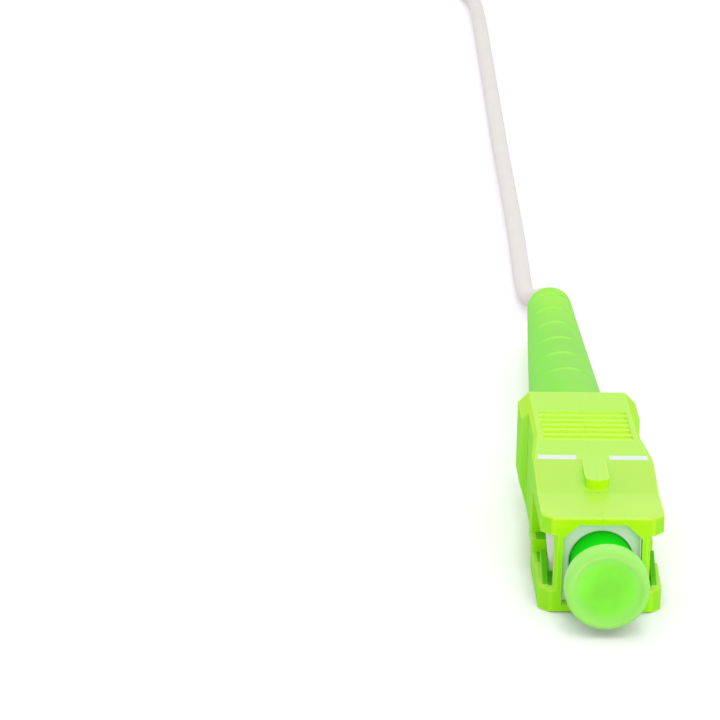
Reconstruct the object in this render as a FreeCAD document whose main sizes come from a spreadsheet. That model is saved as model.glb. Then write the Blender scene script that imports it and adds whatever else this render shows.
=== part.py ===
"""SC fibre connector on a jacketed pigtail, as a parametric FreeCAD document.

Frame: +Z is up (the key side), +Y points back along the cable and X is across.
Lengths along the connector are given from the front face of the outer housing, and
heights from the underside that it rests on. Every sub-part is then shifted so that the
origin lies at the bottom centre of the box round the connector, cap and boot.
"""
import FreeCAD, Part  # noqa: E401  FreeCAD has to be imported first
import math
import os
import re

import Sketcher

SIZES = {
    # outer housing: front section
    "housing_width": 9.0,
    "housing_height": 7.4,
    "housing_length": 25.5,
    "nose_side": 0.8,
    "nose_depth": 0.9,
    "nose_edge": 0.12,
    "opening_width": 5.76,
    "opening_floor": 0.6,
    "opening_roof": 0.58,
    "opening_corner_across": 1.15,
    "opening_corner_down": 1.05,
    "opening_spare": 0.1,
    # outer housing: key, ramp and grip
    "grip_rise": 0.9,
    "ramp_start": 5.2,
    "ramp_end": 10.0,
    "key_width": 1.8,
    "key_front": 5.5,
    "key_root": 0.4,
    "key_flat": 0.3,
    "waist_width": 8.1,
    "waist_front": 11.4,
    "waist_blend": 4.4,
    "collar_width": 9.2,
    "collar_length": 4.0,
    "waist_edge": 0.3,
    "bevel_across": 0.7,
    "bevel_up": 2.2,
    "bevel_front": 9.0,
    "rib_pitch": 1.1,
    "rib_count": 6,
    "rib_clearance": 0.6,
    "rib_depth": 0.16,
    "rib_length": 6.8,
    "boot_hole": 6.4,
    # outer housing: slots in the flanks
    "post_depth": 0.95,
    "post_recess": 1.0,
    "post_edge": 0.22,
    "slot_floor": 1.7,
    "slot_step": 2.7,
    "slot_roof": 6.0,
    "slot_low_end": 7.9,
    "slot_high_end": 9.4,
    "wedge_width": 0.7,
    "wedge_edge": 0.3,
    "wedge_back": 4.2,
    "wedge_top": 3.3,
    "wedge_low_top": 2.3,
    # plug frame
    "slide_gap": 0.08,
    "frame_front": 0.8,
    "frame_setback": 6.0,
    "frame_bore": 4.7,
    "frame_wall_front": 7.2,
    "frame_wall": 0.7,
    "neck_gap": 0.1,
    "spring_bore": 4.4,
    "latch_front": 3.0,
    "latch_length": 0.8,
    "latch_rise": 1.2,
    "latch_lead": 0.45,
    "latch_low": 2.0,
    "latch_slant": 0.45,
    "latch_gap": 0.2,
    "frame_lead_in": 0.1,
    "window_length": 1.6,
    "window_height": 1.9,
    "window_back": 2.9,
    # ferrule, flange and spring
    "ferrule_bore": 2.5,
    "ferrule_front": -0.5,
    "ferrule_length": 10.5,
    "ferrule_chamfer": 0.3,
    "fibre_bore": 0.4,
    "flange_across": 4.2,
    "flange_length": 2.2,
    "flange_notch": 0.7,
    "seat_gap": 0.05,
    "neck_across": 3.2,
    "neck_front": 6.0,
    "tail_across": 2.0,
    "tail_length": 5.0,
    "tail_bore": 1.0,
    "ferrule_travel": 1.2,
    "spring_wire": 0.42,
    "spring_across": 3.7,
    "spring_turns": 5.0,
    "spring_seat_gap": 0.02,
    # rear body, yarn and crimp
    "rear_nose_length": 3.5,
    "rear_collar": 1.2,
    "rear_bore": 2.3,
    "stem_across": 3.6,
    "stem_length": 6.3,
    "stem_groove": 0.15,
    "stem_groove_count": 4,
    "tab_gap": 0.1,
    "yarn_layer": 0.2,
    "yarn_back": 0.3,
    "crimp_wall": 0.3,
    "crimp_gap": 0.2,
    "crimp_neck": 2.6,
    "crimp_taper": 0.8,
    # cable
    "cable_across": 1.6,
    "buffer_across": 0.9,
    "fibre_across": 0.25,
    "jacket_gap": 0.7,
    "buffer_bow": 0.4,
    "guide_wall": 0.3,
    "snug_gap": 0.02,
    # boot
    "boot_gap": 0.8,
    "boot_length": 40.5,
    "boot_front_across": 6.15,
    "boot_back_across": 3.8,
    "boot_straight": 11.5,
    "boot_round": 0.9,
    "boot_ring_start": 14.5,
    "boot_ring_pitch": 4.6,
    "boot_ring_count": 6,
    "boot_ring_width": 0.7,
    "boot_ring_depth": 0.22,
    # dust cap
    "cap_front": -5.0,
    "cap_head_across": 6.15,
    "cap_head_length": 1.7,
    "cap_edge": 0.35,
    "cap_rim": 0.65,
    "cap_recess": 0.25,
    "cap_back": 4.6,
    "cap_wall_gap": 0.05,
    "cap_grip_gap": 0.02,
    "cap_end_gap": 0.7,
    # pigtail on the floor
    "floor_gap": 0.04,
    "hank_front": 138.0,
    "hank_run": 32.0,
    "hank_width": 14.4,
    "hank_waist": 6.4,
    "hank_height": 6.34,
    "hank_hole": 8.0,
    "tie_width": 3.0,
    "tie_thickness": 0.25,
    "tie_crown": 1.8,
    "tie_end_low": 2.2,
    "tie_end_high": 5.4,
    "tail_buffer_length": 8.0,
    "tail_fibre_length": 3.0,
    "yarn_tuft_length": 4.0,
    "yarn_tuft_across": 1.5,
}

# Sizes that follow from the ones above.
DERIVED = {
    "axis": "housing_height / 2",
    "grip_top": "housing_height + grip_rise",
    "collar_front": "housing_length - collar_length",
    "collar_edge": "(collar_width - waist_width) / 2 + waist_edge",
    "rib_front": "collar_front - rib_clearance - (rib_count - 1) * rib_pitch",
    "frame_half": "opening_width / 2 - slide_gap",
    "frame_back": "housing_length - frame_setback",
    "opening_back": "frame_back + opening_spare",
    "shoulder_back": "frame_wall_front + frame_wall",
    "flange_front": "shoulder_back + seat_gap",
    "flange_back": "flange_front + flange_length",
    "ferrule_back": "ferrule_front + ferrule_length",
    "tail_back": "flange_back + tail_length",
    "rear_nose_front": "frame_back - rear_nose_length",
    "rear_collar_back": "frame_back + rear_collar",
    "stem_back": "rear_collar_back + stem_length",
    "crimp_front": "rear_collar_back + crimp_gap",
    "crimp_inside": "stem_across / 2 + yarn_layer + 2 * snug_gap",
    "neck_inside": "cable_across / 2 + snug_gap",
    "neck_back": "stem_back + crimp_gap + crimp_taper + crimp_neck",
    "jacket_front": "stem_back + jacket_gap",
    "buffer_front": "tail_back + ferrule_travel + buffer_bow",
    "boot_front": "rear_collar_back + boot_gap",
    "boot_taper_front": "boot_front + boot_straight",
    "boot_ring_front": "boot_front + boot_ring_start",
    "boot_back": "boot_front + boot_length",
    "cap_bore_front": "ferrule_front - cap_end_gap",
    "hank_near": "boot_back + hank_front + hank_width / 2",
    "hank_middle": "hank_near + hank_run / 2",
    "hank_far": "hank_near + hank_run",
    "floor_level": "floor_gap + cable_across / 2",
    "inside_level": "hank_height - floor_gap - cable_across / 2",
    "top_level": "hank_height + floor_gap + cable_across / 2",
    "origin_back": "(cap_front + boot_back) / 2",
}

# The route of the jacketed cable from the boot to the hank, and from the hank to its end.
# A point gives the distance across, the distance behind the boot, and a share of a climb:
# from the floor to the connector's axis, and from inside the hank to the top of it.
ROUTE = [
    (0.0, 0.0, 1.0), (0.0, 1.6, 1.0), (-0.12, 4.2, 0.86), (-0.42, 7.2, 0.44),
    (-0.66, 10.2, 0.1), (-0.68, 13.6, 0.0), (-0.45, 19.6, 0.0), (-0.3, 26.0, 0.0),
    (-0.12, 35.6, 0.0), (0.0, 47.6, 0.0), (0.14, 60.3, 0.0), (0.4, 75.7, 0.0),
    (0.7, 94.0, 0.0), (0.95, 109.5, 0.0), (1.1, 121.0, 0.0), (0.5, 127.5, 0.0),
    (-1.9, 134.0, 0.0), (-5.0, 139.0, 0.0), (-6.5, 144.3, 0.0),
]
TAIL_ROUTE = [
    (-6.5, 144.5, 0.0), (-5.4, 150.4, 0.35), (-3.0, 155.6, 0.9), (-0.4, 160.6, 1.0),
    (1.9, 166.6, 1.0),
]
ARC_SHARE = 0.45


def cell(text):
    """Turn an expression in plain size names into one that reads the spreadsheet."""
    def swap(match):
        word = match.group(0)
        if word in DERIVED:
            return "(" + cell(DERIVED[word]) + ")"
        return "Sizes." + word if word in SIZES else word
    return re.sub(r"[a-z][a-z_]*", swap, text)


def value(text):
    """Work out an expression in plain size names, in millimetres."""
    return float(sheet.evalExpression(cell(text)))


def mirrored(points):
    """Give the outline of the same shape on the other side of the connector."""
    return [("-(" + across + ")", other) for across, other in points]


def rectangle(left, bottom, right, top):
    """Give the four corners of a rectangle."""
    return [(left, bottom), (right, bottom), (right, top), (left, top)]


def new_body(label):
    """Start a sub-part whose place follows the shared origin."""
    body = doc.addObject("PartDesign::Body", label)
    body.Label = label
    body.setExpression("Placement.Base.y", cell("-(origin_back)"))
    sub_parts.append(body)
    return body


def new_sketch(body, plane, start="0", lift="0"):
    """Attach a sketch to one of the body's origin planes, moved along its own axes."""
    sketch = body.newObject("Sketcher::SketchObject", body.Label + "_outline")
    support = [item for item in body.Origin.OriginFeatures if item.Role == plane + "_Plane"]
    sketch.AttachmentSupport = [(support[0], "")]
    sketch.MapMode = "FlatFace"
    along = "-(" + start + ")" if plane == "XZ" else start
    sketch.setExpression("AttachmentOffset.Base.y", cell(lift))
    sketch.setExpression("AttachmentOffset.Base.z", cell(along))
    return sketch


def draw_outline(sketch, points):
    """Draw a closed outline whose corners are all tied to the spreadsheet."""
    first = sketch.GeometryCount
    corners = [FreeCAD.Vector(value(x), value(y), 0) for x, y in points]
    for index, corner in enumerate(corners):
        sketch.addGeometry(Part.LineSegment(corner, corners[(index + 1) % len(corners)]))
    for index, (x, y) in enumerate(points):
        line = first + index
        following = first + (index + 1) % len(points)
        sketch.addConstraint(Sketcher.Constraint("Coincident", line, 2, following, 1))
        for kind, text in (("DistanceX", x), ("DistanceY", y)):
            number = sketch.addConstraint(Sketcher.Constraint(kind, -1, 1, line, 1, value(text)))
            sketch.setExpression("Constraints[%d]" % number, cell(text))


def draw_circle(sketch, x, y, across):
    """Draw a circle whose centre and diameter are tied to the spreadsheet."""
    centre = FreeCAD.Vector(value(x), value(y), 0)
    circle = sketch.addGeometry(Part.Circle(centre, FreeCAD.Vector(0, 0, 1), value(across) / 2))
    for kind, text in (("DistanceX", x), ("DistanceY", y)):
        number = sketch.addConstraint(Sketcher.Constraint(kind, -1, 1, circle, 3, value(text)))
        sketch.setExpression("Constraints[%d]" % number, cell(text))
    number = sketch.addConstraint(Sketcher.Constraint("Diameter", circle, value(across)))
    sketch.setExpression("Constraints[%d]" % number, cell(across))


def pad(body, plane, start, end, *outlines):
    """Add material between two distances along a plane's axis."""
    return extrude(body, "PartDesign::Pad", plane, start, end, outlines)


def pocket(body, plane, start, end, *outlines):
    """Cut material between two distances along a plane's axis."""
    return extrude(body, "PartDesign::Pocket", plane, start, end, outlines)


def extrude(body, kind, plane, start, end, outlines):
    """Pad or cut outlines, or (x, y, diameter) circles, from start up to end."""
    sketch = new_sketch(body, plane, start)
    for shape in outlines:
        if isinstance(shape, tuple):
            draw_circle(sketch, *shape)
        else:
            draw_outline(sketch, shape)
    feature = body.newObject(kind, body.Label + "_" + kind.split("::")[1].lower())
    feature.Profile = sketch
    feature.Reversed = (plane == "XZ") == (kind == "PartDesign::Pad")
    feature.setExpression("Length", cell("(" + end + ") - (" + start + ")"))
    return feature


def turn(body, points, cut=False):
    """Turn an outline of (distance back, radius) corners about the connector's axis."""
    sketch = new_sketch(body, "YZ", lift="axis")
    for outline in points:
        draw_outline(sketch, outline)
    kind = "PartDesign::Groove" if cut else "PartDesign::Revolution"
    feature = body.newObject(kind, body.Label + "_turned")
    feature.Profile = sketch
    feature.ReferenceAxis = (sketch, ["H_Axis"])
    feature.Angle = 360
    return feature


def turned(label, outline):
    """Make a sub-part by turning one outline about the connector's axis."""
    body = new_body(label)
    turn(body, [outline])
    return body


def tube(label, front, back, inside, outside):
    """Make a plain tube or, with no inside, a rod on the connector's axis."""
    return turned(label, rectangle(front, inside, back, outside))


def dress_edges(body, kind, size, chosen):
    """Chamfer or fillet the edges of the body's newest shape that a test picks out."""
    doc.recompute()
    base = body.Tip
    names = []
    for index, edge in enumerate(base.Shape.Edges):
        ends = [vertex.Point for vertex in edge.Vertexes]
        if chosen(ends, edge):
            names.append("Edge%d" % (index + 1))
    feature = body.newObject(kind, body.Label + "_edges")
    feature.Base = (base, names)
    feature.setExpression("Radius" if kind == "PartDesign::Fillet" else "Size", cell(size))
    return feature


def at_circle(back, radius):
    """Pick the circular edges at one distance back and one radius."""
    def chosen(ends, edge):
        curve = edge.Curve
        if not isinstance(curve, Part.Circle):
            return False
        return (abs(curve.Center.y - value(back)) < 1e-4
                and abs(curve.Radius - value(radius)) < 1e-4)
    return chosen


def make_outer_housing():
    """The sliding outer housing: key, grip ribs, rear collar and the slots in its flanks."""
    body = new_body("outer_housing")
    plan = [("housing_width / 2 - nose_side", "0"), ("housing_width / 2", "nose_depth"),
            ("housing_width / 2", "waist_front"),
            ("waist_width / 2", "waist_front + waist_blend"),
            ("waist_width / 2", "housing_length")]
    pad(body, "XY", "0", "grip_top", plan + mirrored(plan)[::-1])
    soften_grip(body)
    collar = [("collar_width / 2", "0"), ("collar_width / 2", "grip_top - collar_edge"),
              ("collar_width / 2 - collar_edge", "grip_top")]
    pad(body, "XZ", "collar_front", "housing_length", collar + mirrored(collar)[::-1])
    # The top face lies lower at the front and ramps up to the grip.
    beyond = "2 * housing_width"
    pocket(body, "YZ", "-(housing_width)", "housing_width",
           [("-(nose_depth)", "housing_height"), ("ramp_start", "housing_height"),
            ("ramp_end", "grip_top"), ("ramp_end", beyond), ("-(nose_depth)", beyond)])
    soften_nose(body)
    cut_edges(body)
    add_key(body)
    cut_bore(body)
    cut_flank_slots(body)
    cut_ribs(body)


def soften_nose(body):
    """Chamfer the edges round the front face and along the top of the nose's sides."""
    def round_front(ends, edge):
        at_front = all(abs(end.y) < 1e-6 for end in ends)
        on_top = all(abs(end.z - value("housing_height")) < 1e-6 for end in ends)
        on_nose = all(end.y < value("nose_depth") + 1e-6 for end in ends)
        return at_front or (on_top and on_nose)
    dress_edges(body, "PartDesign::Chamfer", "nose_edge", round_front)


def cut_edges(body):
    """Bevel the long lower edges, which rise clear of the surface behind the nose."""
    bevel = [("collar_width / 2 - bevel_across", "0"), ("collar_width / 2", "bevel_up"),
             ("housing_width", "bevel_up"), ("housing_width", "-(bevel_up)"),
             ("collar_width / 2 - bevel_across", "-(bevel_up)")]
    pocket(body, "XZ", "bevel_front", "housing_length", bevel, mirrored(bevel))


def add_key(body):
    """The key on the top face, level with the grip and rounded at its front."""
    key = pad(body, "XY", "housing_height - key_root", "grip_top",
              rectangle("-(key_width / 2)", "key_front", "key_width / 2", "ramp_end"))
    key.Label = "key"

    def at_front(ends, edge):
        upright = len(ends) == 2 and abs(ends[0].x - ends[1].x) < 1e-6
        return (upright and abs(ends[0].y - value("key_front")) < 1e-6
                and abs(ends[1].y - value("key_front")) < 1e-6)
    dress_edges(body, "PartDesign::Fillet", "key_width / 2 - key_flat / 2", at_front)


def cut_bore(body):
    """The passage for the plug frame, with cut corners at its top, and the boot's hole."""
    half = "opening_width / 2"
    roof = "housing_height - opening_roof"
    side = [(half, "opening_floor"), (half, roof + " - opening_corner_down"),
            (half + " - opening_corner_across", roof)]
    pocket(body, "XZ", "0", "opening_back", side + mirrored(side)[::-1])
    pocket(body, "XZ", "opening_back", "housing_length", ("0", "axis", "boot_hole"))


def cut_flank_slots(body):
    """The stepped slots through both flanks, with a recessed post in front and a wedge."""
    pocket(body, "YZ", "-(housing_width)", "housing_width",
           [("post_depth", "slot_floor"), ("slot_low_end", "slot_floor"),
            ("slot_low_end", "slot_step"), ("slot_high_end", "slot_step"),
            ("slot_high_end", "slot_roof"), ("post_depth", "slot_roof")])
    face = "housing_width / 2 - post_recess"
    recess = [(face + " - post_edge", "0"), (face, "post_edge"), (face, "post_depth"),
              ("housing_width", "post_depth"), ("housing_width", "-(post_depth)"),
              (face + " - post_edge", "-(post_depth)")]
    pocket(body, "XY", "slot_floor", "slot_roof", recess, mirrored(recess))
    # The wedges rise from the floor of the slots, lower along their outer strip.
    inner = "housing_width / 2 - wedge_width"
    middle = "housing_width / 2 - wedge_edge"
    for near, far, top in ((inner, middle, "wedge_top"),
                           (middle, "housing_width / 2", "wedge_low_top")):
        side = [("post_depth", "slot_floor / 2"), ("wedge_back", "slot_floor / 2"),
                ("wedge_back", top), ("post_depth", "slot_floor")]
        pad(body, "YZ", near, far, side)
        pad(body, "YZ", "-(" + far + ")", "-(" + near + ")", side)


def cut_ribs(body):
    """Saw-toothed finger ribs across the top and the underside of the grip."""
    teeth = []
    for number in range(int(value("rib_count"))):
        back = "rib_front + %d * rib_pitch" % number
        front = back + " - rib_pitch"
        teeth.append([(front, "grip_top"), (back, "grip_top"), (back, "grip_top - rib_depth")])
        teeth.append([(front, "0"), (back, "0"), (back, "rib_depth")])
    pocket(body, "YZ", "-(rib_length / 2)", "rib_length / 2", *teeth)


def soften_grip(body):
    """Chamfer the long top edges of the grip in one plane with the collar's."""
    def along_top(ends, edge):
        level = all(abs(end.z - value("grip_top")) < 1e-6 for end in ends)
        behind = all(end.y > value("waist_front") - 1e-6 for end in ends)
        lengthways = len(ends) == 2 and abs(ends[0].y - ends[1].y) > 1e-3
        return level and behind and lengthways
    dress_edges(body, "PartDesign::Chamfer", "waist_edge", along_top)


def make_plug_frame():
    """The plug frame: a tube with cut top corners, latch bumps and windows in its sides."""
    body = new_body("plug_frame")
    roof = "housing_height - opening_roof - slide_gap"
    side = [("frame_half", "opening_floor + slide_gap"),
            ("frame_half", roof + " - opening_corner_down"),
            ("frame_half - opening_corner_across", roof)]
    pad(body, "XZ", "frame_front", "frame_back", side + mirrored(side)[::-1])
    # The shoulders that the adapter's hooks grip, inside the wedges of the housing.
    latch_back = "latch_front + latch_length"
    crest = "frame_half + latch_rise"
    bump = [("frame_half / 2 + spring_bore / 4", "latch_front"), ("frame_half", "latch_front"),
            (crest, "latch_front + latch_lead"), (crest, latch_back),
            ("frame_half / 2 + spring_bore / 4", latch_back)]
    pad(body, "XY", "latch_low", "slot_roof - latch_gap", bump, mirrored(bump))
    slant = [(crest, "slot_roof - latch_gap"), (crest + " - latch_slant", "latch_low"),
             ("housing_width", "latch_low"), ("housing_width", "slot_roof - latch_gap")]
    pocket(body, "XZ", "latch_front", latch_back, slant, mirrored(slant))
    pocket(body, "XZ", "frame_front", "frame_wall_front", ("0", "axis", "frame_bore"))
    turn(body, [[("frame_front", "frame_bore / 2"),
                 ("frame_front", "frame_bore / 2 + frame_lead_in"),
                 ("frame_front + frame_lead_in", "frame_bore / 2")]], cut=True)
    pocket(body, "XZ", "frame_wall_front", "shoulder_back",
           ("0", "axis", "neck_across + 2 * neck_gap"))
    pocket(body, "XZ", "shoulder_back", "frame_back", ("0", "axis", "spring_bore"))
    window_front = "frame_back - window_back"
    pocket(body, "YZ", "-(housing_width)", "housing_width",
           rectangle(window_front, "axis - window_height / 2",
                     window_front + " + window_length", "axis + window_height / 2"))


def make_ferrule():
    """The ceramic ferrule with its chamfered tip, and the coated fibre along its bore."""
    body = new_body("ferrule")
    turn(body, [[("ferrule_front", "fibre_bore / 2"),
                 ("ferrule_front", "ferrule_bore / 2 - ferrule_chamfer"),
                 ("ferrule_front + ferrule_chamfer", "ferrule_bore / 2"),
                 ("ferrule_back", "ferrule_bore / 2"), ("ferrule_back", "fibre_bore / 2")]])
    tube("ferrule_fibre", "ferrule_front", "ferrule_back", "0", "fibre_across / 2")
    tube("fibre_lead", "ferrule_back + seat_gap", "tail_back", "0", "buffer_across / 2")


def make_flange():
    """The metal flange that holds the ferrule, with keyed notches and a tail for the spring."""
    body = new_body("ferrule_flange")
    seat = "ferrule_bore / 2 + snug_gap"
    turn(body, [[("neck_front", seat), ("neck_front", "neck_across / 2"),
                 ("flange_front", "neck_across / 2"), ("flange_front", "flange_across / 2"),
                 ("flange_back", "flange_across / 2"), ("flange_back", "tail_across / 2"),
                 ("tail_back", "tail_across / 2"), ("tail_back", "tail_bore / 2"),
                 ("ferrule_back", "tail_bore / 2"), ("ferrule_back", seat)]])
    upright = rectangle("-(flange_notch / 2)", "axis + neck_across / 2",
                        "flange_notch / 2", "axis + flange_across")
    hanging = rectangle("-(flange_notch / 2)", "axis - flange_across",
                        "flange_notch / 2", "axis - neck_across / 2")
    level = rectangle("neck_across / 2", "axis - flange_notch / 2",
                      "flange_across", "axis + flange_notch / 2")
    pocket(body, "XZ", "flange_front", "flange_back",
           upright, hanging, level, mirrored(level))


def make_spring():
    """The compression spring between the flange and the rear body."""
    body = new_body("ferrule_spring")
    sketch = new_sketch(body, "YZ", lift="axis")
    draw_circle(sketch, "flange_back + spring_seat_gap + spring_wire / 2",
                "spring_across / 2 - spring_wire / 2", "spring_wire")
    coil = body.newObject("PartDesign::AdditiveHelix", "spring_coil")
    coil.Profile = sketch
    coil.ReferenceAxis = (sketch, ["H_Axis"])
    coil.Mode = "height-turns-angle"
    coil.Angle = 0
    coil.Growth = 0
    room = "rear_nose_front - flange_back - 2 * spring_seat_gap - spring_wire"
    coil.setExpression("Height", cell(room))
    coil.setExpression("Turns", cell("spring_turns"))


def make_rear_body():
    """The rear body: its nose seats the spring and its grooved stem takes the crimp."""
    body = new_body("rear_body")
    nose = "spring_bore / 2 - snug_gap"
    turn(body, [[("rear_nose_front", "rear_bore / 2"), ("rear_nose_front", nose),
                 ("frame_back", nose), ("frame_back", "frame_half"),
                 ("rear_collar_back", "frame_half"), ("rear_collar_back", "stem_across / 2"),
                 ("stem_back", "stem_across / 2"), ("stem_back", "rear_bore / 2")]])
    step = "(stem_length / (stem_groove_count + 1))"
    grooves = []
    for number in range(1, int(value("stem_groove_count")) + 1):
        front = "rear_collar_back + %d * %s" % (number, step)
        grooves.append(rectangle(front, "stem_across / 2 - stem_groove",
                                 front + " + stem_groove", "stem_across"))
    turn(body, grooves, cut=True)
    # The tabs that click into the windows of the plug frame.
    tab_front = "frame_back - window_back + tab_gap"
    tab = rectangle("rear_bore / 2 + stem_groove", tab_front, "frame_half - tab_gap",
                    tab_front + " + window_length - 2 * tab_gap")
    pad(body, "XY", "axis - window_height / 2 + tab_gap", "axis + window_height / 2 - tab_gap",
        tab, mirrored(tab))


def make_cable_grip():
    """The yarn over the stem, the crimp ring over the yarn, and the cable's own layers."""
    tube("aramid_sleeve", "crimp_front", "stem_back - yarn_back",
         "stem_across / 2 + snug_gap", "stem_across / 2 + snug_gap + yarn_layer")
    neck = "stem_back + crimp_gap + crimp_taper"
    turned("crimp_ring", [
        ("crimp_front", "crimp_inside"), ("crimp_front", "crimp_inside + crimp_wall"),
        ("stem_back + crimp_gap", "crimp_inside + crimp_wall"),
        (neck, "neck_inside + crimp_wall"), ("neck_back", "neck_inside + crimp_wall"),
        ("neck_back", "neck_inside"), (neck, "neck_inside"),
        ("stem_back + crimp_gap", "crimp_inside")])
    tube("guide_tube", "buffer_front", "stem_back", "buffer_across / 2 + snug_gap",
         "buffer_across / 2 + snug_gap + guide_wall")
    tube("fibre_buffer", "buffer_front", "boot_back", "0", "buffer_across / 2")
    tube("cable_jacket", "jacket_front", "boot_back", "buffer_across / 2 + snug_gap",
         "cable_across / 2")


def make_boot():
    """The ringed, tapering boot over the crimp and the cable."""
    body = new_body("boot")
    wide = "crimp_inside + crimp_wall + snug_gap"
    narrow = "neck_inside + crimp_wall + snug_gap"
    step = "stem_back + crimp_gap"
    turn(body, [[("boot_front", wide), ("boot_front", "boot_front_across / 2"),
                 ("boot_taper_front", "boot_front_across / 2"),
                 ("boot_back", "boot_back_across / 2"), ("boot_back", "neck_inside"),
                 ("neck_back + crimp_gap", "neck_inside"), ("neck_back + crimp_gap", narrow),
                 (step + " + crimp_taper + crimp_gap", narrow), (step + " + crimp_gap", wide)]])
    dress_edges(body, "PartDesign::Fillet", "boot_round",
                at_circle("boot_back", "boot_back_across / 2"))
    rings = []
    for number in range(int(value("boot_ring_count"))):
        front = "boot_ring_front + %d * boot_ring_pitch" % number
        share = "((%s - boot_taper_front) / (boot_back - boot_taper_front))" % front
        surface = ("(boot_front_across - (boot_front_across - boot_back_across) * %s) / 2"
                   % share)
        rings.append([(front, surface + " - boot_ring_depth"),
                      (front, surface + " + boot_ring_width"),
                      (front + " + boot_ring_width", surface + " + boot_ring_width"),
                      (front + " + boot_ring_width", surface)])
    turn(body, rings, cut=True)


def make_dust_cap():
    """The dust cap: a dished head on a tube that slips over the ferrule."""
    body = new_body("dust_cap")
    barrel = "frame_bore / 2 - cap_wall_gap"
    grip = "ferrule_bore / 2 + cap_grip_gap"
    head_back = "cap_front + cap_head_length"
    turn(body, [[("cap_front + cap_recess", "0"),
                 ("cap_front + cap_recess", "cap_head_across / 2 - cap_rim"),
                 ("cap_front", "cap_head_across / 2 - cap_rim + cap_recess"),
                 ("cap_front", "cap_head_across / 2"), (head_back, "cap_head_across / 2"),
                 (head_back, barrel), ("cap_back - cap_edge", barrel),
                 ("cap_back", barrel + " - cap_edge"), ("cap_back", grip),
                 ("cap_bore_front", grip), ("cap_bore_front", "0")]])

    def at_rim(ends, edge):
        front = at_circle("cap_front", "cap_head_across / 2")
        back = at_circle(head_back, "cap_head_across / 2")
        return front(ends, edge) or back(ends, edge)
    dress_edges(body, "PartDesign::Fillet", "cap_edge", at_rim)


def placed(route, low, high):
    """Turn a route's points into places, in the same frame as the other sub-parts."""
    climb = value(high) - value(low)
    return [FreeCAD.Vector(across, value("boot_back") + back, value(low) + climb * share)
            for across, back, share in route]


def cable_path(corners):
    """Join a route's corners by straight runs with an arc at each turn."""
    edges = []
    start = corners[0]
    tightest = math.inf
    for before, corner, after in zip(corners, corners[1:], corners[2:]):
        back, ahead = before - corner, after - corner
        half_turn = (math.pi - back.getAngle(ahead)) / 2
        reach = ARC_SHARE * min(back.Length, ahead.Length)
        radius = reach / math.tan(half_turn)
        tightest = min(tightest, radius)
        enter = corner + back.normalize() * reach
        leave = corner + ahead.normalize() * reach
        inward = (back + ahead).normalize()
        middle = corner + inward * (radius / math.cos(half_turn) - radius)
        edges.append(Part.LineSegment(start, enter).toShape())
        edges.append(Part.Arc(enter, middle, leave).toShape())
        start = leave
    edges.append(Part.LineSegment(start, corners[-1]).toShape())
    print("tightest bend of the route %.1f mm" % tightest)
    return Part.Wire(edges)


def make_cable_run(label, corners):
    """Sweep the jacketed cable along a route of its own."""
    path = cable_path(corners)
    ahead = corners[1] - corners[0]
    section = Part.Wire(Part.Circle(corners[0], ahead, value("cable_across / 2")).toShape())
    solid = path.makePipeShell([section], True, False)
    expected = math.pi * value("cable_across / 2") ** 2 * path.Length
    if abs(solid.Volume - expected) > 0.01 * expected:
        raise RuntimeError("%s has the wrong volume" % label)
    feature = doc.addObject("Part::Feature", label)
    feature.Label = label
    feature.Shape = solid
    feature.Placement = FreeCAD.Placement(
        FreeCAD.Vector(0, -value("origin_back"), 0), FreeCAD.Rotation())
    sub_parts.append(feature)
    print("%s is %.0f mm long" % (label, path.Length))


def make_hank():
    """The outer shape of the cable folded into a hank that is tied round its waist."""
    body = new_body("cable_hank")
    for middle in ("hank_near", "hank_far"):
        pad(body, "XY", "0", "hank_height", ("0", middle, "hank_width"))
    side = [("hank_width / 2", "hank_near"), ("hank_waist / 2", "hank_middle - tie_width"),
            ("hank_waist / 2", "hank_middle + tie_width"), ("hank_width / 2", "hank_far")]
    pad(body, "XY", "0", "hank_height", side + mirrored(side)[::-1])
    pocket(body, "XY", "0", "hank_height",
           ("0", "hank_near", "hank_hole"), ("0", "hank_far", "hank_hole"))
    # The tie passes under the waist.
    pocket(body, "XY", "0", "tie_thickness + snug_gap",
           rectangle("-(hank_width)", "hank_middle - tie_width / 2 - snug_gap",
                     "hank_width", "hank_middle + tie_width / 2 + snug_gap"))


def make_hank_tie():
    """The strap round the waist of the hank and the cable's end on top of it."""
    body = new_body("hank_tie")
    side = "hank_waist / 2 + snug_gap"
    crown = "hank_height + cable_across + 2 * floor_gap"
    inside = [(side, "tie_thickness"), (side, "hank_height + snug_gap"),
              ("tie_crown / 2", crown)]
    outside = [(side + " + tie_thickness", "0"),
               (side + " + tie_thickness", "hank_height + snug_gap + tie_thickness / 2"),
               ("tie_crown / 2 + tie_thickness / 2", crown + " + tie_thickness")]
    pad(body, "XZ", "hank_middle - tie_width / 2", "hank_middle + tie_width / 2",
        inside + mirrored(inside)[::-1], outside + mirrored(outside)[::-1])
    pad(body, "XZ", "hank_middle - tie_width / 2", "hank_middle + tie_width / 2",
        rectangle(side + " + tie_thickness / 2", "tie_end_low",
                  side + " + 2 * tie_thickness", "tie_end_high"))


def make_stripped_end():
    """The stripped end of the pigtail: trimmed yarn, the buffer and the bare fibre."""
    before, last = placed(TAIL_ROUTE, "inside_level", "top_level")[-2:]
    ahead = (last - before).normalize()
    buffer_end = last + ahead * value("tail_buffer_length")
    add_rod("tail_buffer", last, ahead, "0", "buffer_across", "tail_buffer_length")
    add_rod("tail_fibre", buffer_end, ahead, "0", "fibre_across", "tail_fibre_length")
    add_rod("yarn_tuft", last, ahead, "buffer_across + 2 * snug_gap", "yarn_tuft_across",
            "yarn_tuft_length")


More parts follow.
